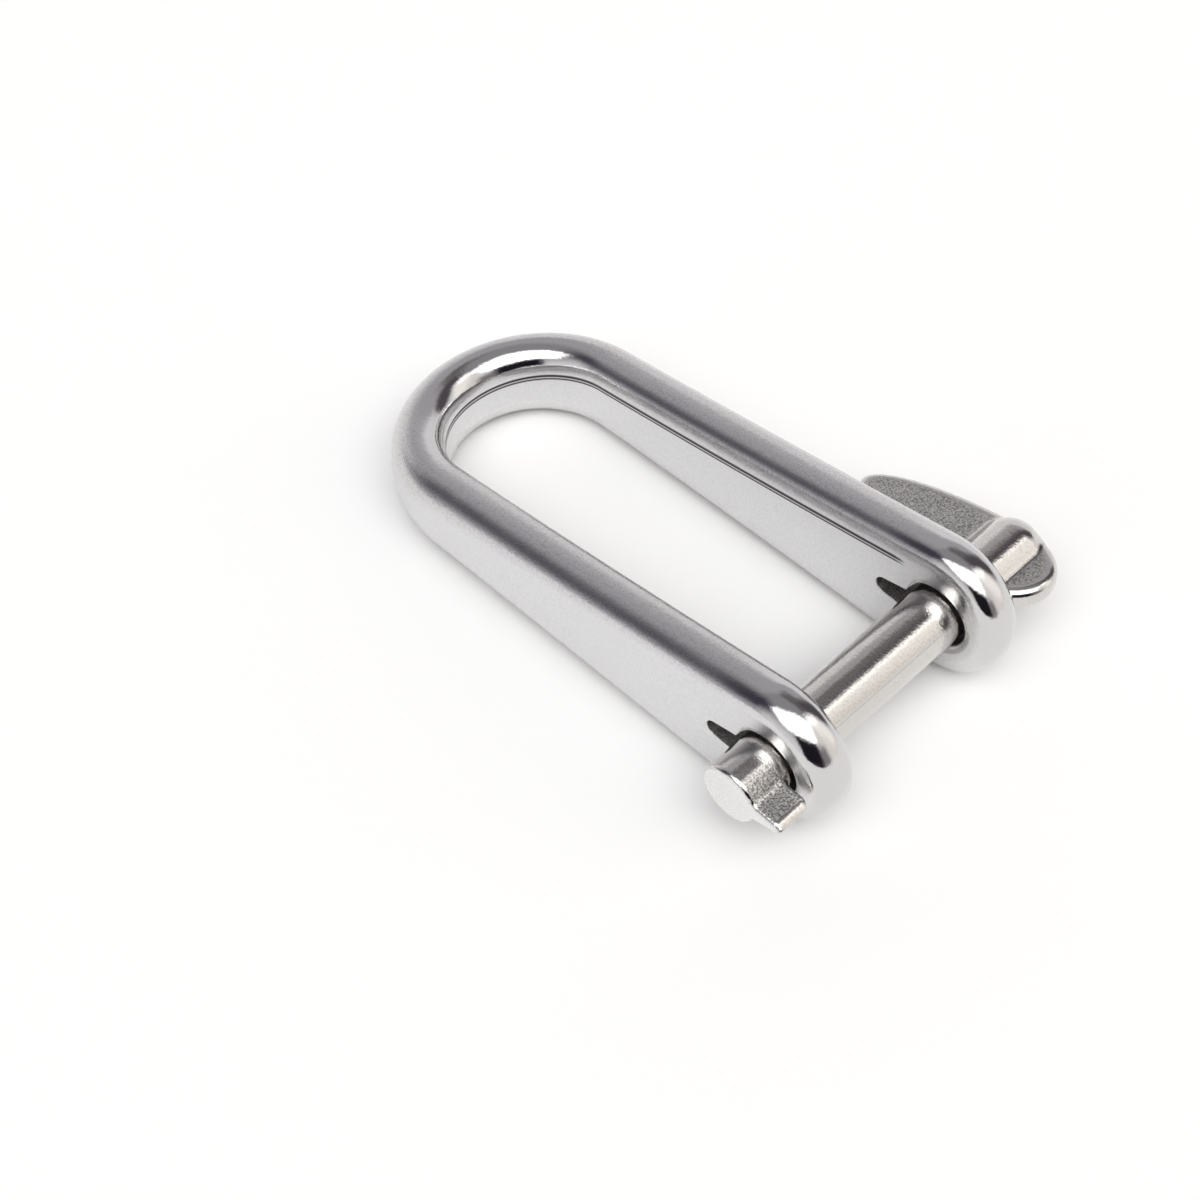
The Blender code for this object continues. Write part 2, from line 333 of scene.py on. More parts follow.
@dataclass(frozen=True)
class RestingPose:
    """How the shackle lies on the ground: on its bend and both ears."""

    tilt: float
    pin_axis: Vector

    def matrix(self, turned: float, pin_place: Vector) -> Matrix:
        """Work out where a casting lies.

        Args:
            turned: How far it is turned about the pin, the bend's end going down.
            pin_place: The pin's middle in the casting's own millimetres.

        Returns:
            The matrix from the casting's own millimetres to the ground's metres.
        """
        turn = Matrix.Rotation(-self.tilt - turned, 4, "Y")
        origin = self.pin_axis - turn.to_3x3() @ (pin_place * MM)
        return Matrix.Translation(origin) @ turn @ Matrix.Scale(MM, 4)


def ease(value: float | np.ndarray, start: float, end: float) -> float | np.ndarray:
    """Ease from 0 to 1 as the value goes from the start to the end."""
    share = np.clip((value - start) / (end - start), 0.0, 1.0)
    return share * share * (3.0 - 2.0 * share)


def direction(azimuth: float, elevation: float) -> Vector:
    """Direction at these angles, the azimuth counted from minus Y."""
    level = math.cos(elevation)
    return Vector((math.sin(azimuth) * level, -math.cos(azimuth) * level, math.sin(elevation)))


def unit(rows: np.ndarray) -> np.ndarray:
    """Bring every row to length one."""
    return rows / np.maximum(np.linalg.norm(rows, axis=1), TINY)[:, None]


def summed_at(places: np.ndarray, rows: np.ndarray, count: int) -> np.ndarray:
    """Add up the rows that belong to each of so many places."""
    return np.stack([np.bincount(places, rows[:, axis], count) for axis in range(3)], axis=-1)


def read_values(items: bpy_prop_collection, name: str, width: int, kind: type) -> np.ndarray:
    """Read one property of all of a mesh's vertices, edges, corners or faces.

    Args:
        items: The vertices, edges, corners or faces.
        name: The property's name.
        width: How many numbers it has.
        kind: The numbers' type.

    Returns:
        The numbers, a row for each item where there are several.
    """
    values = np.empty(len(items) * width, kind)
    items.foreach_get(name, values)
    return values.reshape(-1, width) if width > 1 else values


def set_normals(mesh: Mesh) -> None:
    """Give every corner the normal of its vertex, weighted by the faces' areas.

    A flat face then stays flat up to its edge, and the round beside it starts from there.

    Args:
        mesh: The mesh to shade.
    """
    normals = read_values(mesh.polygons, "normal", 3, np.float32)
    areas = read_values(mesh.polygons, "area", 1, np.float32)
    totals = read_values(mesh.polygons, "loop_total", 1, np.int32)
    corners = read_values(mesh.loops, "vertex_index", 1, np.int32)
    weighted = np.repeat(normals * areas[:, None], totals, axis=0)
    summed = summed_at(corners, weighted, len(mesh.vertices))
    mesh.shade_smooth()
    mesh.normals_split_custom_set_from_vertices(unit(summed).tolist())


def add_object(name: str, data: ID) -> Object:
    """Put a new object in the scene.

    Args:
        name: Its name.
        data: Its mesh or camera.

    Returns:
        The object.
    """
    obj = bpy.data.objects.new(name, data)
    bpy.context.scene.collection.objects.link(obj)
    return obj


def made_by(obj: Object) -> Mesh:
    """Take what an object's modifier makes as a plain mesh, and remove the object.

    Args:
        obj: The object.

    Returns:
        The mesh.
    """
    depsgraph = bpy.context.evaluated_depsgraph_get()
    mesh = bpy.data.meshes.new_from_object(obj.evaluated_get(depsgraph))
    bpy.data.objects.remove(obj)
    return mesh


def finished(mesh: Mesh, name: str, finish: Material) -> Object:
    """Dress a mesh in its finish and put it in the scene as a piece.

    Args:
        mesh: The mesh.
        name: The piece's name.
        finish: Its steel.

    Returns:
        The piece.
    """
    mesh.materials.clear()
    mesh.materials.append(finish)
    mesh.name = name
    return add_object(name, mesh)


@dataclass(frozen=True)
class BarSizes:
    """The main sizes of the bow's bar, which the crown's node tree takes as its inputs."""

    inside_width: float = 14.8
    leg_length: float = 35.5
    bend_thickness: float = 4.74
    leg_thickness: float = 4.35
    ear_thickness: float = 4.0
    bend_height: float = 6.99
    leg_height: float = 7.7
    ear_radius: float = 6.185
    ear_flare: float = math.radians(5.0)
    inner_crown: float = 2.1
    inner_crown_bend: float = 2.45
    inner_shoulder: float = 0.26
    inner_shoulder_bend: float = 0.06
    outer_crown_bend: float = 2.45
    outer_crown_ear: float = 1.6


class Crown:
    """The rounded edge all the way round the bow, made by a node tree from the bar's sizes.

    One quarter of it, ear, leg and half the bend, is laid out on three grids of one by one
    and then mirrored to the underside and to the other leg. X on a grid is the way along
    the stretch, and Y is the way across the crown, from the inner flat to the outer one.
    """

    steps_across: int = 48
    steps_along: tuple[int, int, int] = (56, 70, 56)

    def __init__(self, sizes: BarSizes) -> None:
        """Give the tree an input for each size, and work out where the stretches meet.

        Args:
            sizes: The bar's sizes.
        """
        tree = bpy.data.node_groups.new("bow_crown", "GeometryNodeTree")
        self.tree = tree
        self.given = {}
        for name, value in asdict(sizes).items():
            socket = tree.interface.new_socket(name, in_out="INPUT", socket_type="NodeSocketFloat")
            self.given[socket.identifier] = value
        tree.interface.new_socket("geometry", in_out="OUTPUT", socket_type="NodeSocketGeometry")
        outputs = add_node(tree, "NodeGroupInput").outputs
        size = SimpleNamespace(**{name: Number(tree, outputs[name]) for name in asdict(sizes)})
        place = add_node(tree, "GeometryNodeInputPosition").outputs[0]
        split = add_node(tree, "ShaderNodeSeparateXYZ", {0: place})
        self.size = size
        self.share = Number(tree, split.outputs["X"]) + 0.5
        self.across = Number(tree, split.outputs["Y"]) + 0.5
        self.is_outer = self.across.above(0.5)
        self.meet_x = size.ear_radius * size.ear_flare.sine() * -1.0
        self.meet_height = size.ear_radius * size.ear_flare.cosine()
        self.run = size.leg_length + self.meet_x
        self.ear_turn = size.ear_flare + math.pi / 2
        self.ear_run = size.ear_radius * self.ear_turn

    def exponent(self, shoulder: Number) -> Number:
        """Exponent of the section, less than one where its inner shoulder is full."""
        return 1.0 - shoulder * (1.0 - self.is_outer)

    def drop(self, inner: Number, outer: Number, shoulder: Number) -> Number:
        """Work out how far below the top the crown has come.

        Args:
            inner: The crown's depth on its inner side.
            outer: Its depth on its outer side.
            shoulder: How full its inner shoulder is.

        Returns:
            The distance down.
        """
        crown = inner + (outer - inner) * self.is_outer
        height = (self.across * math.pi).sine().clamped()
        return crown * (1.0 - height.power(self.exponent(shoulder)))

    def out(self, thickness: Number, shoulder: Number) -> Number:
        """Work out how far from the middle of the bow the crown has come.

        Args:
            thickness: The bar's thickness.
            shoulder: How full the crown's inner shoulder is.

        Returns:
            The distance out.
        """
        back = (self.across * math.pi).cosine()
        outward = 1.0 - back.absolute().power(self.exponent(shoulder)) * back.maths("SIGN")
        return self.size.inside_width * 0.5 + thickness * 0.5 * outward

    def straight_out(self, x: Number) -> Number:
        """Place the crown of the ear or the leg along the pin.

        Args:
            x: The point's x.

        Returns:
            Its y.
        """
        size = self.size
        thinning = (size.leg_thickness - size.ear_thickness) / size.leg_length
        return self.out(size.ear_thickness - thinning * x, size.inner_shoulder) * -1.0

    def ear(self) -> tuple[Number, ...]:
        """Lay out the ear's rim, from its tip over its top.

        Returns:
            A point's place, and its distance from the ear's tip.
        """
        size = self.size
        angle = self.share * self.ear_turn
        drop = self.drop(size.inner_crown, size.outer_crown_ear, size.inner_shoulder)
        radius = size.ear_radius - drop
        x = angle.cosine() * radius
        return x, self.straight_out(x), angle.sine() * radius, self.share * self.ear_run

    def leg(self) -> tuple[Number, ...]:
        """Lay out the leg's top, from the ear to the bend.

        The ear's last section leans, and the lean runs out along the leg.

        Returns:
            A point's place, and its distance from the ear's tip.
        """
        size = self.size
        slope = size.ear_flare.maths("TANGENT")
        back = self.share * self.run
        rise = size.leg_height * 0.5 - self.meet_height + slope * self.run
        swell = rise / (self.run * self.run)
        height = self.meet_height - slope * back + swell * back * back
        depth = (back - self.meet_x) / size.leg_length
        crown = size.outer_crown_bend - size.outer_crown_ear
        outer = size.outer_crown_ear + crown * depth * depth
        drop = self.drop(size.inner_crown, outer, size.inner_shoulder)
        lean = (1.0 - self.share) * (1.0 - self.share)
        x = self.meet_x - back + drop * lean * size.ear_flare.sine()
        upright = 1.0 - (1.0 - size.ear_flare.cosine()) * lean
        return x, self.straight_out(x), height - drop * upright, self.ear_run + back

    def bend(self) -> tuple[Number, ...]:
        """Lay out the bend's top, from the leg to the middle of the bend.

        Returns:
            A point's place, and its distance from the ear's tip.
        """
        size = self.size
        angle = (1.0 - self.share) * (math.pi / 2)
        middle = angle.cosine()
        half, inner, shoulder, thickness = (
            leg + (bend - leg) * middle
            for leg, bend in (
                (size.leg_height, size.bend_height),
                (size.inner_crown, size.inner_crown_bend),
                (size.inner_shoulder, size.inner_shoulder_bend),
                (size.leg_thickness, size.bend_thickness),
            )
        )
        half = half * 0.5
        outer = size.outer_crown_bend + (half - size.outer_crown_bend) * middle
        radius = self.out(thickness, shoulder)
        x = size.leg_length * -1.0 - middle * radius
        z = half - self.drop(inner, outer, shoulder)
        along = self.ear_run + self.run + self.share * size.inside_width * (math.pi / 4)
        return x, angle.sine() * radius * -1.0, z, along

    def laid(self, steps: int, point: tuple[Number, ...]) -> NodeSocket:
        """Lay a grid out on one stretch.

        Args:
            steps: Steps along the stretch.
            point: A point's place, and its distance from the ear's tip.

        Returns:
            The socket of the finished stretch.
        """
        inputs = {"Size X": 1.0, "Size Y": 1.0}
        inputs |= {"Vertices X": steps + 1, "Vertices Y": self.steps_across + 1}
        laid = add_node(self.tree, "GeometryNodeMeshGrid", inputs).outputs["Mesh"]
        kept = {"data_type": "FLOAT", "domain": "POINT"}
        for name, value in (("across", self.across), ("along", point[3])):
            inputs = {"Geometry": laid, "Name": name, "Value": value}
            store = add_node(self.tree, "GeometryNodeStoreNamedAttribute", inputs, **kept)
            laid = store.outputs[0]
        place = add_node(self.tree, "ShaderNodeCombineXYZ", dict(enumerate(point[:3])))
        inputs = {"Geometry": laid, "Position": place.outputs[0]}
        return add_node(self.tree, "GeometryNodeSetPosition", inputs).outputs[0]

    def mirrored(self, half: NodeSocket, scale: tuple[float, float, float]) -> NodeSocket:
        """Join one half with its mirror image, whose faces are turned to point out.

        Args:
            half: The half's socket.
            scale: The mirroring, as a scale.

        Returns:
            The socket of both.
        """
        image = add_node(self.tree, "GeometryNodeTransform", {"Geometry": half, "Scale": scale})
        image = add_node(self.tree, "GeometryNodeFlipFaces", {"Mesh": image.outputs[0]})
        join = add_node(self.tree, "GeometryNodeJoinGeometry", {0: image.outputs[0]})
        self.tree.links.new(half, join.inputs[0])
        return join.outputs[0]

    def mesh(self, finish: Material) -> Mesh:
        """Finish the tree, run it and keep what it makes as a plain mesh.

        Args:
            finish: The steel of the bow.

        Returns:
            The mesh, open along both flats.
        """
        tree = self.tree
        quarter = add_node(tree, "GeometryNodeJoinGeometry")
        for steps, point in zip(self.steps_along, (self.ear(), self.leg(), self.bend())):
            tree.links.new(self.laid(steps, point), quarter.inputs[0])
        upper = self.mirrored(quarter.outputs[0], (1.0, 1.0, -1.0))
        whole = self.mirrored(upper, (1.0, -1.0, 1.0))
        merge = add_node(tree, "GeometryNodeMergeByDistance", {0: whole, "Distance": WELD})
        realise = add_node(tree, "GeometryNodeRealizeInstances", {0: merge.outputs[0]})
        inputs = {0: realise.outputs[0], "Material": finish}
        dress = add_node(tree, "GeometryNodeSetMaterial", inputs)
        add_node(tree, "NodeGroupOutput", {0: dress.outputs[0]})
        obj = add_object("bow_crown", bpy.data.meshes.new("bow_crown"))
        modifier = obj.modifiers.new("crown", "NODES")
        modifier.node_group = tree
        for identifier, value in self.given.items():
            modifier[identifier] = value
        return made_by(obj)


@dataclass
class Bow:
    """The cast U-shaped bow, from the top of its crown to the rims of its keyholes."""

    bar: BarSizes = BarSizes()
    pin_radius: float = 2.5
    seat_gap: float = 0.3
    hole_radius: float = 2.825
    hole_offset: float = 0.5
    keyway_reach: float = 5.5
    keyway_root: float = 1.45
    keyway_tip: float = 0.75
    keyway_margin: float = 0.3
    keyway_rim: float = 0.12
    rim_width: float = 0.7
    rim_depth: float = 0.4
    # Painted shade on the keyholes' walls, standing in for the shade inside the holes
    wall_painted_shade: float = 0.16
    hole_steps: int = 96
    corner_steps: float = 14.0
    tip_steps: int = 24
    rim_steps: int = 8
    # Rows below the inner flat's upper edge, and the painted shade of each: painted dark lines
    # along the crown's inner edge
    crease_drops: tuple[float, ...] = (0.13, 0.3, 0.42)
    crease_painted_shade: tuple[float, ...] = (0.0, 0.7, 0.0)
    crease_end: float = -2.2
    crease_fade: float = 1.2
    polish_strength: float = 2.0
    ear_gloss_ends: Span = (-1.0, 5.0)
    bend_gloss_ends: Span = (-1.0, 3.0)
    bend_gloss_across: Span = (0.4, 0.65)

    def tilt(self) -> float:
        """Angle at which the bow rests on its bend and both ears."""
        reach = self.bar.leg_length + self.bar.inside_width / 2 + self.bar.bend_thickness / 2
        return math.asin((self.bar.ear_radius - self.bar.bend_height / 2) / reach)

    def pin_place(self) -> Vector:
        """The pin's middle, in the bow's own directions."""
        drop = (self.hole_radius - self.pin_radius - self.seat_gap) / math.sqrt(2.0)
        return Vector((self.hole_offset - drop, 0.0, -drop))

    def thickness_at(self, x: float) -> float:
        """Thickness of a leg at x."""
        bar = self.bar
        return bar.ear_thickness - (bar.leg_thickness - bar.ear_thickness) * x / bar.leg_length

    def keyhole_outline(self, grow: float) -> list[tuple[float, float, float]]:
        """Outline of a keyhole in X and Z, with its edge moved out.

        Args:
            grow: How far the round hole's edge moves out.

        Returns:
            The points in order, each with its share of the hole's rim. The keyway's edges are
            left nearly sharp, so they have only a small share of it.
        """
        reach = self.keyway_reach - self.keyway_tip
        edge_angle = math.pi / 2 - math.asin((self.keyway_root - self.keyway_tip) / reach)
        small = grow * self.keyway_rim
        corner = edge_angle - math.acos((self.keyway_root + small) / (self.hole_radius + small))
        points = []
        for step in range(self.hole_steps + 1):
            way = step / self.hole_steps
            angle = corner + (2 * math.pi - 2 * corner) * way
            past = min(way, 1.0 - way) * self.hole_steps
            rounded = float(ease(past, 0.0, self.corner_steps))
            share = self.keyway_rim + (1.0 - self.keyway_rim) * rounded
            radius = self.hole_radius + grow * share
            points.append((radius * math.cos(angle), radius * math.sin(angle), share))
        tip = self.keyway_tip + small
        for step in range(self.tip_steps + 1):
            angle = -edge_angle + 2 * edge_angle * step / self.tip_steps
            points.append((reach + tip * math.cos(angle), tip * math.sin(angle), self.keyway_rim))
        return [(self.hole_offset - along, across, share) for along, across, share in points]

    def keyhole_wall(self, bm: BMesh, side: Side) -> dict[bool, Verts]:
        """Add the wall of a keyhole, rounded over at both faces of the ear.

        Args:
            bm: The bow's mesh.
            side: Which ear.

        Returns:
            The points round its two mouths, the outer one's under True.
        """
        profile = []
        for step in range(self.rim_steps + 1):
            angle = math.pi / 2 * step / self.rim_steps
            grow = self.rim_width * (1 - math.sin(angle)) if step < self.rim_steps else 0.0
            profile.append((self.rim_depth * (1 - math.cos(angle)), grow))
        layers = bm.verts.layers.float
        rows = []
        for is_outer in (False, True):
            for depth, grow in reversed(profile) if is_outer else profile:
                on_wall = float(grow == 0.0)
                row = []
                for x, z, share in self.keyhole_outline(grow):
                    out = self.thickness_at(x) - depth * share if is_outer else depth * share
                    vert = bm.verts.new((x, side.value * (self.bar.inside_width / 2 + out), z))
                    vert[layers["polish"]] = float(depth > 0.0)
                    vert[layers["grain"]] = on_wall
                    # The wall is dark with painted shade, as well as rough with the cast skin
                    vert[layers["painted_shade"]] = self.wall_painted_shade * on_wall
                    row.append(vert)
                rows.append(row)
        for row, following in zip(rows, rows[1:]):
            self.strip(bm, row + row[:1], following + following[:1])
        return {False: rows[0], True: rows[-1]}

    @staticmethod
    def strip(bm: BMesh, one: Verts, other: Verts) -> None:
        """Lay faces between two lines of points that run side by side."""
        for here, there in zip(zip(one, other), zip(one[1:], other[1:])):
            bm.faces.new((here[0], there[0], there[1], here[1]))

    def mark_crown(self, bm: BMesh) -> None:
        """Mark where the crown is polished, and where it is buffed to a mirror.

        Args:
            bm: The crown's mesh.
        """
        layers = bm.verts.layers.float
        for name in ("polish", "gloss", "grain", "painted_shade"):
            layers.new(name)
        across, along, polish, gloss = (
            layers[name] for name in ("across", "along", "polish", "gloss")
        )
        ear_end = self.bar.ear_radius * (self.bar.ear_flare + math.pi / 2)
        leg_end = ear_end + self.bar.leg_length
        for vert in bm.verts:
            vert[polish] = min(self.polish_strength * math.sin(math.pi * vert[across]), 1.0)
            at_ear = 1.0 - ease(vert[along] - ear_end, *self.ear_gloss_ends)
            at_bend = ease(vert[along] - leg_end, *self.bend_gloss_ends)
            at_bend *= 1.0 - ease(vert[across], *self.bend_gloss_across)
            vert[gloss] = vert[polish] * max(at_ear, at_bend)

    @staticmethod
    def crown_rims(bm: BMesh) -> dict[bool, Verts]:
        """Find the points along both open edges of the crown.

        Args:
            bm: The crown's mesh.

        Returns:
            The points of the inner edge under False and of the outer one under True.
        """
        across = bm.verts.layers.float["across"]
        rims = {False: [], True: []}
        for vert in bm.verts:
            if any(len(edge.link_faces) == 1 for edge in vert.link_edges):
                rims[vert[across] > 0.5].append(vert)
        return rims

    def flat_column(self, bm: BMesh, top: BMVert, bottom: BMVert, crease: float) -> Verts:
        """Lay points down a flat at one place, with a crease of painted shade below its upper
        edge.

        Args:
            bm: The bow's mesh.
            top: The point on the upper edge.
            bottom: The point on the lower edge.
            crease: How dark the crease's painted shade is, or a negative number for none.

        Returns:
            The points from the top down.
        """
        if crease < 0.0:
            return list(dict.fromkeys((top, bottom)))
        # The crease's rows take painted shade, a dark line standing in for the shade at the
        # crown's inner edge
        painted_shade = bm.verts.layers.float["painted_shade"]
        top[painted_shade] = crease
        column = [top]
        for drop, dark in zip(self.crease_drops, self.crease_painted_shade):
            column.append(bm.verts.new(top.co - Vector((0.0, 0.0, drop))))
            column[-1][painted_shade] = dark * crease
        return column + [bottom]

    def close_flat(
        self, bm: BMesh, is_outer: bool, verts: Verts, walls: dict[Side, dict[bool, Verts]]
    ) -> None:
        """Fill one flat side of the bar, all the way round, but for its keyholes.

        The legs and the bend are filled by columns from edge to edge. Each ear is one flat
        face round its keyhole. The inner side's crease runs on over the ear as a ledge, so
        the ear's face begins below it there.

        Args:
            bm: The bow's mesh.
            is_outer: Whether it is the outer side. The inner one has a crease of painted shade at
                its upper edge.
            verts: The points of the crown's edge on that side.
            walls: The points round both mouths of each ear's keyhole.
        """
        along = bm.verts.layers.float["along"]
        far_end = 2 * max(vert[along] for vert in verts)
        stations = {}
        for vert in verts:
            place = vert[along] if vert.co.y < 0 else far_end - vert[along]
            stations.setdefault(round(place * STATIONS), []).append(vert)
        tops = {key: max(pair, key=lambda vert: vert.co.z) for key, pair in stations.items()}
        bottoms = {key: min(pair, key=lambda vert: vert.co.z) for key, pair in stations.items()}
        keys = sorted(tops)
        bar_end = self.hole_offset - self.keyway_reach - self.keyway_margin
        columns = {}
        ledges = {}
        for key in keys:
            x = tops[key].co.x
            # Painted shade along the inner crease, fading out before the ear
            crease = -1.0 if is_outer else float(ease(self.crease_end - x, 0.0, self.crease_fade))
            if x < bar_end:
                columns[key] = self.flat_column(bm, tops[key], bottoms[key], crease)
            elif x < self.crease_end and not is_outer:
                ledges[key] = self.flat_column(bm, tops[key], bottoms[key], crease)[:-1]
        bars = sorted(columns)
        if not is_outer:
            ledges |= {key: columns[key][:-1] for key in (bars[0], bars[-1])}
        run = sorted(ledges)
        for here, after in zip(run, run[1:]):
            if here != bars[0]:
                self.strip(bm, ledges[here], ledges[after])
        for here, after in zip(bars, bars[1:]):
            one, other = columns[here], columns[after]
            if len(one) == len(other) > 2:
                self.strip(bm, one, other)
            elif len(one) + len(other) > 2:
                bm.faces.new(one + other[::-1])
        for side in Side:
            end = bars[0] if side is Side.NEAR else bars[-1]
            beyond = [key for key in keys if (key <= end if side is Side.NEAR else key >= end)]
            first = next((key for key in beyond[:: -side.value] if key in ledges), None)
            outline = []
            for key in beyond:
                ledge = ledges.get(key, [tops[key]])
                outline += ledge[:: -side.value] if key == first else ledge[-1:]
            outline += [bottoms[key] for key in reversed(beyond) if bottoms[key] not in outline]
            self.fill_face(bm, outline, walls[side][is_outer])

    @staticmethod
    def fill_face(bm: BMesh, outline: Verts, mouth: Verts) -> None:
        """Fill a flat face between its outline and the mouth of a hole in it.

        Args:
            bm: The bow's mesh.
            outline: The outline's points in order.
            mouth: The mouth's points in order.
        """
        verts = outline + mouth
        places = [Vector((vert.co.x, vert.co.z)) for vert in verts]
        first = len(outline)
        edges = [(k, (k + 1) % first) for k in range(first)]
        edges += [(first + k, first + (k + 1) % len(mouth)) for k in range(len(mouth))]
        result = delaunay_2d_cdt(places, edges, [], INSIDE_ONLY, SAME_PLACE)
        faces, origins = result[2:4]
        hole = places[first:]
        for face in faces:
            corners = [origins[k][0] for k in face]
            middle = sum((places[k] for k in corners), Vector((0.0, 0.0))) / len(corners)
            crossings = 0
            for a, b in zip(hole, hole[1:] + hole[:1]):
                if (a.y > middle.y) != (b.y > middle.y):
                    reach = a.x + (middle.y - a.y) / (b.y - a.y) * (b.x - a.x)
                    crossings += middle.x < reach
            if crossings % 2 == 0:
                bm.faces.new([verts[k] for k in corners])

    def build(self, pose: RestingPose, finish: Material) -> Object:
        """Make the bow as one closed piece.

        Args:
            pose: How it lies.
            finish: Its steel.

        Returns:
            The finished piece.
        """
        mesh = Crown(self.bar).mesh(finish)
        bm = bmesh.new()
        bm.from_mesh(mesh)
        bmesh.ops.remove_doubles(bm, verts=bm.verts, dist=WELD)
        self.mark_crown(bm)
        rims = self.crown_rims(bm)
        walls = {side: self.keyhole_wall(bm, side) for side in Side}
        for is_outer, rim in rims.items():
            self.close_flat(bm, is_outer, rim, walls)
        bmesh.ops.remove_doubles(bm, verts=bm.verts, dist=WELD)
        bmesh.ops.recalc_face_normals(bm, faces=bm.faces)
        for face in bm.faces:
            face.material_index = 0
        open_edges = sum(len(edge.link_faces) != 2 for edge in bm.edges)
        log.info("bow: %d faces, %d open edges", len(bm.faces), open_edges)
        bm.transform(pose.matrix(0.0, self.pin_place()))
        bm.to_mesh(mesh)
        bm.free()
        set_normals(mesh)
        return finished(mesh, "bow_casting", finish)


@dataclass
class KeyPin:
    """The cast key pin: its shaft, its lug and its wing handle, run together by fillets."""

    radius: float = 2.5
    free_end: float = -15.15
    barrel_end: float = 18.98
    barrel_dome: float = 2.2
    barrel_slack: float = 0.02
    end_round: float = 0.4
    lug_reach: float = 5.0
    lug_length: float = 3.3
    lug_root: float = 1.6
    lug_tip: float = 0.85
    lug_corner: float = 0.9
    lug_edge: float = 0.42
    lug_fillet: float = 0.4
    lug_nose: float = 0.12
    lug_bevel: float = math.radians(36.0)
    bevel_round: float = 0.12
    handle_face: float = 11.85
    handle_middle: float = 15.05
    handle_half_width: float = 3.85
    wing_reach: float = 13.5
    lobe_reach: float = 5.0
    handle_thickness: float = 1.9
    handle_edge: float = 0.75
    handle_fillet: float = 0.5
    handle_corner: float = 0.3
    oval_core: float = 0.05
    turned: float = math.radians(2.0)
    parting: float = math.radians(65.4)
    handle_skin: float = 0.7
    skin_from_rim: Span = (0.75, 1.15)
    skin_from_barrel: Span = (0.1, 0.4)
    skin_from_axis: Span = (0.9, 1.8)
    skin_from_nose: Span = (0.6, 0.75)
    skin_from_root: Span = (-0.2, 0.4)
    skin_from_end: Span = (0.2, 0.4)
    fresh_facing: Span = (-0.8, -0.99)
    fresh_depth: Span = (0.2, 0.05)
    gloss: float = 0.6
    shaft_segments: int = 64
    plate_segments: int = 96
    voxel: float = 0.104
    rounds: int = 5
    draws: int = 3
    farthest: float = 0.3
    farthest_last: float = 0.1
    evening: float = 0.5
    probe: float = 2e-4

    @staticmethod
    def smooth_min(a: np.ndarray, b: np.ndarray, fillet: float) -> np.ndarray:
        """Lesser of two distances, run together by a fillet."""
        share = np.clip(0.5 + 0.5 * (b - a) / fillet, 0.0, 1.0)
        return b + (a - b) * share - fillet * share * (1.0 - share)

    @staticmethod
    def rounded(a: np.ndarray, b: np.ndarray, radius: float) -> np.ndarray:
        """Distance to the common part of two shapes, its edge rounded over."""
        outside = np.hypot(np.maximum(a + radius, 0.0), np.maximum(b + radius, 0.0))
        return np.minimum(np.maximum(a + radius, b + radius), 0.0) + outside - radius

    def shaft_distance(self, p: np.ndarray) -> np.ndarray:
        """Distance of points to the shaft, which runs on past its free end."""
        around = np.hypot(p[:, 0], p[:, 2]) - self.radius
        return self.rounded(around, p[:, 1] - self.barrel_end, self.barrel_dome)

    def lug_distance(self, p: np.ndarray) -> np.ndarray:
        """Work out how far points are from the lug, which runs on past the free end.

        Args:
            p: The points, one a row.

        Returns:
            Their distances, negative inside.
        """
        past = p[:, 0] - self.radius
        taper = (self.lug_root - self.lug_tip) / (self.lug_reach - self.radius)
        half = (self.lug_root - taper * np.maximum(past, 0.0)) / 2
        beyond = p[:, 0] - self.lug_reach
        end = p[:, 1] - self.free_end - self.lug_length
        outline = self.rounded(beyond, end, self.lug_corner)
        inner = self.rounded(outline, -p[:, 0], self.lug_edge)
        block = self.rounded(inner, np.abs(p[:, 2]) - half, self.lug_edge)
        over = (np.abs(p[:, 2]) - self.lug_nose) * math.cos(self.lug_bevel)
        bevel = over + beyond * math.sin(self.lug_bevel)
        return self.rounded(block, bevel, self.bevel_round)

    def handle_outline_distance(self, p: np.ndarray) -> np.ndarray:
        """Work out how far points are from the handle's outline, seen from above.

        Args:
            p: The points, one a row.

        Returns:
            Their distances, negative inside.
        """
        reach = np.where(p[:, 0] > 0, self.lobe_reach, self.wing_reach)
        u = p[:, 0] / reach
        v = (p[:, 1] - self.handle_middle) / self.handle_half_width
        level = np.hypot(u, v)
        slope = np.hypot(u / reach, v / self.handle_half_width)
        oval = level * (level - 1.0) / np.maximum(slope, TINY)
        oval = np.where(level < self.oval_core, -self.handle_half_width, oval)
        return self.rounded(oval, self.handle_face - p[:, 1], self.handle_corner)

    def handle_distance(self, p: np.ndarray) -> np.ndarray:
        """Distance of points to the handle's plate."""
        side = np.abs(p[:, 2]) - self.handle_thickness / 2
        return self.rounded(self.handle_outline_distance(p), side, self.handle_edge)

    def distance(self, p: np.ndarray) -> np.ndarray:
        """Work out how far points are from the whole key pin.

        Args:
            p: The points, one a row.

        Returns:
            Their distances, negative inside.
        """
        whole = self.smooth_min(self.shaft_distance(p), self.lug_distance(p), self.lug_fillet)
        whole = self.smooth_min(whole, self.handle_distance(p), self.handle_fillet)
        whole = np.maximum(whole, p[:, 1] - self.barrel_end - self.barrel_slack)
        return self.rounded(whole, self.free_end - p[:, 1], self.end_round)

    def slope(self, p: np.ndarray) -> np.ndarray:
        """Find the direction in which the distance grows.

        Args:
            p: The points, one a row.

        Returns:
            The direction at each point, of about length one.
        """
        columns = []
        for offset in np.eye(3) * self.probe:
            rise = self.distance(p + offset) - self.distance(p - offset)
            columns.append(rise / (2 * self.probe))
        return np.stack(columns, axis=-1)

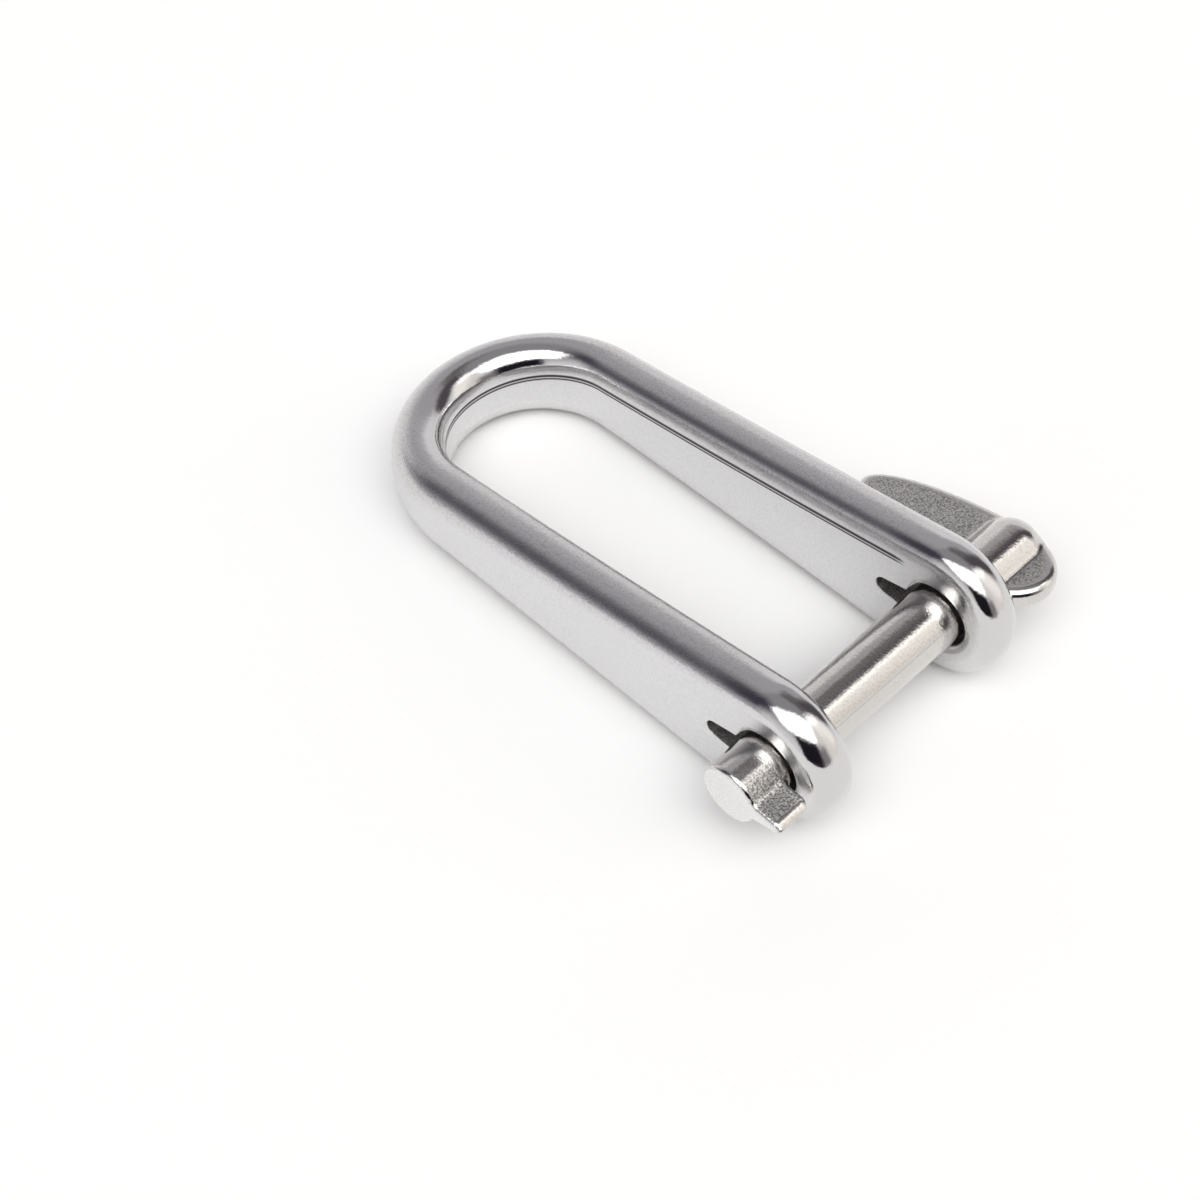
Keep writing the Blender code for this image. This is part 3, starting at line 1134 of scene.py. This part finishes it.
    def skin_share(self, p: np.ndarray) -> np.ndarray:
        """Find where the casting's rough skin is left, on the faces of the handle and the lug.

        Args:
            p: The points of the surface.

        Returns:
            For each point 1 where the skin is left, down to 0 where it is polished away.
        """
        handle = ease(-self.handle_outline_distance(p), *self.skin_from_rim)
        handle *= ease(self.shaft_distance(p), *self.skin_from_barrel) * self.handle_skin
        lug = ease(p[:, 0], *self.skin_from_axis)
        lug *= ease(self.lug_reach - p[:, 0], *self.skin_from_nose)
        lug *= ease(self.free_end + self.lug_length - p[:, 1], *self.skin_from_root)
        lug *= ease(p[:, 1] - self.free_end, *self.skin_from_end)
        return np.maximum(handle, lug)

    def seam_side(self, p: np.ndarray) -> np.ndarray:
        """Side of the mould's parting plane, which holds the pin's axis: half on the plane."""
        across = p[:, 0] * math.cos(self.parting) - p[:, 2] * math.sin(self.parting)
        return np.clip(0.5 + across, 0.0, 1.0)

    def blank(self) -> Mesh:
        """Make the rough form of the key pin as one evenly meshed skin.

        Returns:
            The mesh, in the pin's own millimetres.
        """
        bm = bmesh.new()
        length = self.barrel_end - self.free_end

        def cylinder(segments: int, radius: float, depth: float, matrix: Matrix) -> Verts:
            """Add a cylinder and return its points."""
            sizes = {"radius1": radius, "radius2": radius, "depth": depth, "matrix": matrix}
            return bmesh.ops.create_cone(bm, cap_ends=True, segments=segments, **sizes)["verts"]

        lay = Matrix.Translation((0, self.free_end + length / 2, 0))
        lay = lay @ Matrix.Rotation(math.pi / 2, 4, "X")
        cylinder(self.shaft_segments, self.radius, length, lay)
        spread = Matrix.Diagonal((1.0, self.handle_half_width, self.handle_thickness, 1.0))
        spread = Matrix.Translation((0, self.handle_middle, 0)) @ spread
        for vert in cylinder(self.plate_segments, 1.0, 1.0, spread):
            vert.co.x *= self.lobe_reach if vert.co.x > 0 else self.wing_reach
            vert.co.y = max(vert.co.y, self.handle_face)
        lug = Matrix.Diagonal((self.lug_reach, self.lug_length, self.lug_root, 1.0))
        place = Matrix.Translation((self.lug_reach / 2, self.free_end + self.lug_length / 2, 0))
        bmesh.ops.create_cube(bm, size=1.0, matrix=place @ lug)
        mesh = bpy.data.meshes.new("key_pin_blank")
        bm.to_mesh(mesh)
        bm.free()
        obj = add_object("key_pin_blank", mesh)
        remesh = obj.modifiers.new("skin", "REMESH")
        remesh.mode = "VOXEL"
        remesh.voxel_size = self.voxel
        return made_by(obj)

    def drawn(self, points: np.ndarray, farthest: float) -> np.ndarray:
        """Draw points onto the true surface.

        Args:
            points: The points, one a row.
            farthest: How far a point may be moved at a time.

        Returns:
            The moved points.
        """
        for _ in range(self.draws):
            slope = self.slope(points)
            steep = np.maximum((slope**2).sum(axis=1), LEAST_STEEPNESS)
            move = np.clip(self.distance(points) / steep, -farthest, farthest)
            points = points - slope * move[:, None]
        return points

    def settle(self, mesh: Mesh) -> np.ndarray:
        """Draw the rough skin onto the true surface and even it out.

        Args:
            mesh: The skin.

        Returns:
            The settled points.
        """
        points = read_values(mesh.vertices, "co", 3, np.float64)
        edges = read_values(mesh.edges, "vertices", 2, np.int64)
        count = len(points)
        share = 1.0 / np.maximum(np.bincount(edges.ravel(), minlength=count), 1)
        for _ in range(self.rounds):
            points = self.drawn(points, self.farthest)
            slope = unit(self.slope(points))
            mean = summed_at(edges[:, 0], points[edges[:, 1]], count)
            mean += summed_at(edges[:, 1], points[edges[:, 0]], count)
            shift = mean * share[:, None] - points
            shift -= slope * (shift * slope).sum(axis=1)[:, None]
            points = points + self.evening * shift
        return self.drawn(points, self.farthest_last)

    def build(self, pose: RestingPose, finish: Material) -> Object:
        """Make the key pin as one closed piece.

        Args:
            pose: How it lies.
            finish: Its steel.

        Returns:
            The finished piece.
        """
        mesh = self.blank()
        points = self.settle(mesh)
        slope = unit(self.slope(points))
        mesh.vertices.foreach_set("co", points.ravel())
        log.info("key pin: %d faces", len(mesh.polygons))
        mesh.shade_smooth()
        matrix = pose.matrix(self.turned, Vector())
        mesh.transform(matrix)
        turn = np.array(matrix.to_3x3()) / MM
        mesh.normals_split_custom_set_from_vertices((slope @ turn.T).tolist())
        fresh = ease(slope[:, 1], *self.fresh_facing)
        fresh *= ease(points[:, 1] - self.free_end, *self.fresh_depth)
        skin = self.skin_share(points)
        for name, values in (
            ("grain", skin),
            ("polish", 1.0 - fresh),
            ("gloss", (1.0 - fresh) * (1.0 - skin) * self.gloss),
            ("fresh", fresh),
            ("seam", self.seam_side(points)),
        ):
            layer = mesh.attributes.new(name, "FLOAT", "POINT")
            layer.data.foreach_set("value", values.astype(np.float32))
        return finished(mesh, "key_pin_casting", finish)


@dataclass(frozen=True)
class Card:
    """A soft-edged panel, light or dark, far off in one direction.

    Its angles are in degrees, and its colour is the light that it gives.
    """

    azimuth: float
    elevation: float
    half_width: float
    half_height: float
    softness: float
    colour: Colour

    def directions(self) -> tuple[Vector, Vector, Vector]:
        """Find the way the panel lies.

        Returns:
            The directions to its middle, its right and its top.
        """
        azimuth = math.radians(self.azimuth)
        middle = direction(azimuth, math.radians(self.elevation))
        right = Vector((math.cos(azimuth), math.sin(azimuth), 0.0))
        return middle, right, middle.cross(right) * -1.0

    def share(self, tree: NodeTree, looking: NodeSocket) -> Number:
        """How much of the panel shows in each direction.

        Args:
            tree: The world's nodes.
            looking: The socket of the direction.

        Returns:
            One on the panel, down to zero past its soft edge.
        """
        parts = []
        for way in self.directions():
            inputs = {0: looking, 1: way}
            dot = add_node(tree, "ShaderNodeVectorMath", inputs, operation="DOT_PRODUCT")
            parts.append(Number(tree, dot.outputs["Value"]))
        ahead, across, upward = parts
        result = ahead.above(LEAST_AHEAD)
        for part, half in ((across, self.half_width), (upward, self.half_height)):
            inputs = {
                "Value": (part / ahead.maths("MAXIMUM", LEAST_AHEAD)).absolute(),
                "From Min": math.tan(math.radians(half + self.softness)),
                "From Max": math.tan(math.radians(half - self.softness)),
            }
            edge = add_node(tree, "ShaderNodeMapRange", inputs, interpolation_type="SMOOTHSTEP")
            result = result * Number(tree, edge.outputs["Result"])
        return result


@dataclass
class Studio:
    """Plain pale floor under a big soft light, with a darker studio seen in the steel."""

    floor_half: float = 3.0
    floor_colour: Colour = (0.95, 0.95, 0.95)
    floor_roughness: float = 0.9
    horizon: Colour = (0.88, 0.88, 0.885)
    overhead: Colour = (0.33, 0.32, 0.335)
    rise: Span = (0.1, 0.85)
    backdrop: Colour = (0.93, 0.93, 0.93)
    cards: tuple[Card, ...] = (
        Card(212.0, 24.0, 24.0, 10.0, 8.0, (0.9, 0.88, 0.89)),
        Card(232.0, 47.0, 38.0, 11.0, 8.0, (0.46, 0.45, 0.47)),
        Card(310.0, 5.0, 26.0, 14.0, 10.0, (0.5, 0.48, 0.52)),
        Card(312.0, 36.0, 17.0, 23.0, 12.0, (0.06, 0.055, 0.075)),
        Card(167.0, 38.0, 12.0, 17.0, 6.0, (0.17, 0.16, 0.16)),
        Card(195.0, 59.0, 14.0, 6.0, 5.0, (0.17, 0.16, 0.16)),
        Card(120.0, 22.0, 22.0, 26.0, 10.0, (0.95, 0.91, 0.86)),
        Card(134.0, 32.0, 10.0, 24.0, 7.0, (1.25, 1.2, 1.14)),
        Card(144.0, 50.0, 9.0, 8.0, 5.0, (1.8, 1.75, 1.7)),
        Card(164.0, 36.0, 10.0, 25.0, 6.0, (0.1, 0.09, 0.1)),
        Card(48.0, 62.0, 34.0, 20.0, 8.0, (3.5, 3.5, 3.44)),
        Card(88.0, 12.0, 18.0, 14.0, 8.0, (0.27, 0.255, 0.26)),
        Card(54.0, 17.0, 27.0, 21.0, 6.0, (0.015, 0.012, 0.018)),
    )

    def floor(self) -> None:
        """Lay the floor."""
        mesh = bpy.data.meshes.new("floor")
        half = self.floor_half
        corners = [(-half, -half, 0), (half, -half, 0), (half, half, 0), (-half, half, 0)]
        mesh.from_pydata(corners, [], [(0, 1, 2, 3)])
        material = bpy.data.materials.new("pale_floor")
        material.use_nodes = True
        shader = material.node_tree.nodes["Principled BSDF"]
        shader.inputs["Base Color"].default_value = (*self.floor_colour, 1.0)
        shader.inputs["Roughness"].default_value = self.floor_roughness
        mesh.materials.append(material)
        add_object("floor", mesh)

    def sky(self) -> None:
        """Light the scene from all round, and show the camera a plain pale backdrop."""
        world = bpy.data.worlds.new("studio")
        world.use_nodes = True
        tree = world.node_tree
        looking = add_node(tree, "ShaderNodeTexCoord").outputs["Generated"]
        upward = add_node(tree, "ShaderNodeSeparateXYZ", {0: looking}).outputs["Z"]
        inputs = {"Value": upward, "From Min": self.rise[0], "From Max": self.rise[1]}
        rise = add_node(tree, "ShaderNodeMapRange", inputs, interpolation_type="SMOOTHSTEP")
        height = Number(tree, rise.outputs["Result"])
        light = blend(tree, self.horizon, self.overhead, height)
        for card in self.cards:
            light = blend(tree, light, card.colour, card.share(tree, looking))
        seen = Number(tree, add_node(tree, "ShaderNodeLightPath").outputs["Is Camera Ray"])
        light = blend(tree, light, self.backdrop, seen)
        tree.links.new(light, tree.nodes["Background"].inputs["Color"])
        bpy.context.scene.world = world


@dataclass
class Portrait:
    """The camera at the photograph's viewing angle."""

    azimuth: float = math.radians(47.658)
    elevation: float = math.radians(50.781)
    roll: float = math.radians(-2.741)
    distance: float = 156.379 * MM
    lens: float = 58.248
    sensor: float = 36.0
    clip: Span = (0.005, 20.0)
    target: tuple[float, float, float] = (-1.7241 * MM, -7.44 * MM, 0.0)

    def build(self) -> None:
        """Place the camera."""
        data = bpy.data.cameras.new("portrait")
        data.sensor_width = self.sensor
        data.lens = self.lens
        data.clip_start, data.clip_end = self.clip
        camera = add_object("portrait", data)
        back = direction(self.azimuth, self.elevation)
        level = (-back).cross(Vector((0.0, 0.0, 1.0))).normalized()
        above = level.cross(-back)
        right = level * math.cos(self.roll) + above * math.sin(self.roll)
        up = above * math.cos(self.roll) - level * math.sin(self.roll)
        turn = Matrix((right, up, back)).transposed().to_4x4()
        place = Matrix.Translation(Vector(self.target) + back * self.distance)
        camera.matrix_world = place @ turn
        bpy.context.scene.camera = camera


def main() -> None:
    """Build the shackle and its studio, and report each piece."""
    logging.basicConfig(level=logging.INFO, format="%(name)s: %(message)s")
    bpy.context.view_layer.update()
    bow = Bow()
    pin = KeyPin()
    pose = RestingPose(bow.tilt(), Vector(frame["joints"][0]["pos_m"]))
    Portrait().build()
    studio = Studio()
    studio.floor()
    studio.sky()
    bpy.context.scene.view_settings.view_transform = "Standard"
    bow_steel = SteelFinish(
        name="polished_bow_steel",
        colour=(0.65, 0.64, 0.64),
        skin_colour=(0.36, 0.35, 0.34),
    ).make()
    pin_steel = SteelFinish(
        name="cast_pin_steel",
        colour=(0.66, 0.64, 0.62),
        skin_colour=(0.24, 0.235, 0.235),
        polish_roughness=0.16,
        speckle_depth=0.016 * MM,
    ).make()
    for piece, node, slot in (
        (bow.build(pose, bow_steel), "bow", "bow_steel"),
        (pin.build(pose, pin_steel), "key_pin", "pin_steel"),
    ):
        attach(piece, node)
        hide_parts(node)
        log.info("%s: %d vertices", piece.name, len(piece.data.vertices))


if __name__ == "__main__":
    main()
